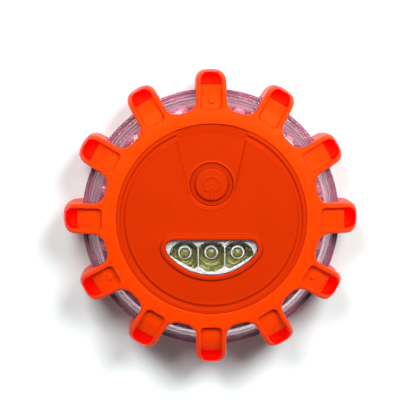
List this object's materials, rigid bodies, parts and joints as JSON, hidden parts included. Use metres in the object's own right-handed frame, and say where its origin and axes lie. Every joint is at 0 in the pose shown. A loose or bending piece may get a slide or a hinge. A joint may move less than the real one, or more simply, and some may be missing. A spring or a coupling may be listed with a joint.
{
  "type": "led safety flare",
  "caption": "Round puck-shaped warning light with a toothed orange rubber jacket, clear ring of red lamps, centre power button, small torch window, magnet and folding hook on the back.",
  "frame": {"origin": "centre of the resting back face", "axes": "+Z out of the front face, +Y from the centre towards the power button, +X to the right seen from the front"},
  "size_m": [0.105, 0.105, 0.034],
  "materials": {
    "jacket_rubber": "satin thermoplastic rubber, bright orange",
    "cap_plastic": "fine matt moulded orange plastic",
    "button_rubber": "soft matt orange rubber",
    "clear_plastic": "clear polycarbonate, polished, with a faint pink cast from the red LEDs",
    "rose_silicone": "translucent rose silicone cord",
    "black_rubber": "black silicone cord",
    "screw_steel": "zinc plated steel",
    "reflector_silver": "vacuum plated plastic",
    "white_led": "clear epoxy over a pale yellow chip",
    "red_led": "red tinted epoxy",
    "tinned_wire": "tinned copper wire",
    "board_green": "solder masked glass board",
    "black_plastic": "black moulded plastic",
    "chip_parts": "small black and grey parts",
    "cell_jacket": "printed steel can, plain",
    "spring_steel": "nickel plated spring steel",
    "magnet_iron": "sintered ferrite",
    "keeper_steel": "zinc plated steel",
    "hook_plastic": "matt moulded orange plastic"
  },
  "bodies": {
    "housing": {"bumper_jacket": "jacket_rubber", "front_cap": "cap_plastic", "lens_shell": "clear_plastic", "back_shell": "clear_plastic", "seam_gasket": "rose_silicone", "case_screws": "screw_steel", "torch_reflector": "reflector_silver", "torch_leds": "white_led", "torch_led_leads": "tinned_wire", "flare_leds": "red_led", "flare_led_leads": "tinned_wire", "main_board": "board_green", "board_screws": "screw_steel", "tact_switch": "black_plastic", "flasher_chip": "chip_parts", "board_parts": "chip_parts", "aaa_cell_1": "cell_jacket", "aaa_cell_2": "cell_jacket", "aaa_cell_3": "cell_jacket", "contact_springs": "spring_steel", "contact_plates": "spring_steel"},
    "power_button": {"power_button": "button_rubber"},
    "switch_plunger": {"switch_plunger": "black_plastic"},
    "battery_door": {"battery_door": "cap_plastic", "door_gasket": "black_rubber", "door_screws": "screw_steel", "magnet": "magnet_iron", "magnet_keeper": "keeper_steel", "hook_pin": "screw_steel"},
    "hanging_hook": {"hanging_hook": "hook_plastic"}
  },
  "joints": [
    {"name": "button_press", "type": "slide", "parent": "housing", "child": "power_button", "axis": [0, 0, -1], "range_m": [0, 0.0006]},
    {"name": "switch_press", "type": "slide", "parent": "housing", "child": "switch_plunger", "axis": [0, 0, -1], "range_m": [0, 0.0006]},
    {"name": "door_lift", "type": "slide", "parent": "housing", "child": "battery_door", "axis": [0, 0, -1], "range_m": [0, 0.02]},
    {"name": "hook_fold", "type": "hinge", "parent": "battery_door", "child": "hanging_hook", "pos_m": [0, 0.025, 0.0022], "axis": [1, 0, 0], "range_deg": [0, 120]}
  ],
  "couplings": [
    {"joint": "switch_press", "follows": "button_press", "ratio": 1}
  ]
}
